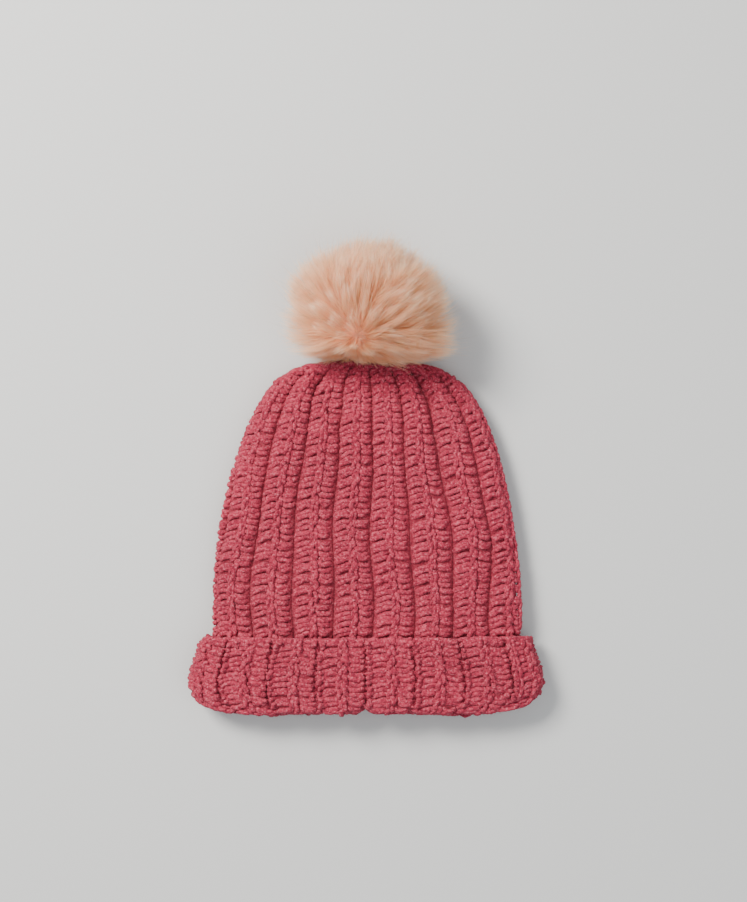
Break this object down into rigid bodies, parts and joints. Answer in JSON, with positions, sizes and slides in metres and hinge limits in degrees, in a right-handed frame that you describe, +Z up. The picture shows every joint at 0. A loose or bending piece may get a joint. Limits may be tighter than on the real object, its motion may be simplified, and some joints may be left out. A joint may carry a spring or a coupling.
{
  "type": "ribbed crochet pompom beanie",
  "caption": "Soft crocheted beanie with upright ribs, a turned-up cuff, a gathered crown and a fluffy faux-fur pompom on top, lying flat on its back.",
  "frame": {"origin": "middle of the base of the whole object's box, on the surface it lies on", "axes": "+Z up out of the surface, +Y from the mouth of the hat to its crown and pompom, +X to the right of the front"},
  "size_m": [0.2306, 0.3123, 0.0823],
  "materials": {
    "yarn": "heathered worsted wool-blend yarn, rose pink",
    "fur": "long soft faux fur, pale peach",
    "fur_backing": "knitted fur backing",
    "filling": "loose polyester fibre",
    "thread": "drawn-up sewing thread",
    "elastic": "covered round elastic",
    "button": "small plain shirt button"
  },
  "bodies": {
    "hat": {"front_rib_1": "yarn", "front_rib_2": "yarn", "front_rib_3": "yarn", "front_rib_4": "yarn", "front_rib_5": "yarn", "front_rib_6": "yarn", "front_rib_7": "yarn", "front_rib_8": "yarn", "back_rib_1": "yarn", "back_rib_2": "yarn", "back_rib_3": "yarn", "back_rib_4": "yarn", "back_rib_5": "yarn", "back_rib_6": "yarn", "back_rib_7": "yarn", "back_rib_8": "yarn", "fold_front": "yarn", "fold_back": "yarn", "fold_left": "yarn", "fold_right": "yarn", "side_seam": "yarn", "crown_gather_yarn": "yarn", "anchor_button": "button"},
    "cuff_front": {"cuff_front_rib_1": "yarn", "cuff_front_rib_2": "yarn", "cuff_front_rib_3": "yarn", "cuff_front_rib_4": "yarn", "cuff_front_rib_5": "yarn", "cuff_front_rib_6": "yarn"},
    "cuff_back": {"cuff_back_rib_1": "yarn", "cuff_back_rib_2": "yarn", "cuff_back_rib_3": "yarn", "cuff_back_rib_4": "yarn", "cuff_back_rib_5": "yarn", "cuff_back_rib_6": "yarn"},
    "cuff_left": {"cuff_left_rib_1": "yarn", "cuff_left_rib_2": "yarn"},
    "cuff_right": {"cuff_right_rib_1": "yarn", "cuff_right_rib_2": "yarn", "cuff_seam": "yarn"},
    "pompom_loop": {"elastic_loop": "elastic"},
    "pompom_tie": {"gather_thread": "thread"},
    "pompom": {"fur_skin": "fur_backing", "fibre_filling": "filling", "fur_pile": "fur"}
  },
  "joints": [
    {"name": "cuff_turn", "type": "hinge", "parent": "hat", "child": "cuff_front", "pos_m": [0, -0.1476, 0.0226], "axis": [1, 0, 0], "range_deg": [0, 180], "deforming": ["fold_front", "fold_back", "fold_left", "fold_right"]},
    {"name": "cuff_turn_back", "type": "hinge", "parent": "hat", "child": "cuff_back", "pos_m": [0, -0.1501, 0.0056], "axis": [-1, 0, 0], "range_deg": [0, 180]},
    {"name": "cuff_left_roll", "type": "slide", "parent": "hat", "child": "cuff_left", "axis": [0.1168, -0.9932, 0], "range_m": [0, 0.0515], "deforming": ["cuff_left_rib_1", "cuff_left_rib_2"]},
    {"name": "cuff_right_roll", "type": "slide", "parent": "hat", "child": "cuff_right", "axis": [-0.1168, -0.9932, 0], "range_m": [0, 0.0515], "deforming": ["cuff_right_rib_1", "cuff_right_rib_2", "cuff_seam"]},
    {"name": "pompom_nod", "type": "hinge", "parent": "hat", "child": "pompom_loop", "pos_m": [0, 0.078, 0.0126], "axis": [1, 0, 0], "range_deg": [-15, 20], "deforming": ["fur_pile", "elastic_loop"]},
    {"name": "pompom_sway", "type": "hinge", "parent": "pompom_loop", "child": "pompom_tie", "pos_m": [0, 0.078, 0.0126], "axis": [0, -0.6561, 0.7547], "range_deg": [-30, 30]},
    {"name": "pompom_twist", "type": "hinge", "parent": "pompom_tie", "child": "pompom", "pos_m": [0, 0.078, 0.0126], "axis": [0, 0.7547, 0.6561], "range_deg": [-90, 90]}
  ],
  "couplings": [
    {"joint": "cuff_turn_back", "follows": "cuff_turn", "ratio": 1},
    {"joint": "cuff_left_roll", "follows": "cuff_turn", "m_per_rad": 0.016392},
    {"joint": "cuff_right_roll", "follows": "cuff_turn", "m_per_rad": 0.016392}
  ]
}
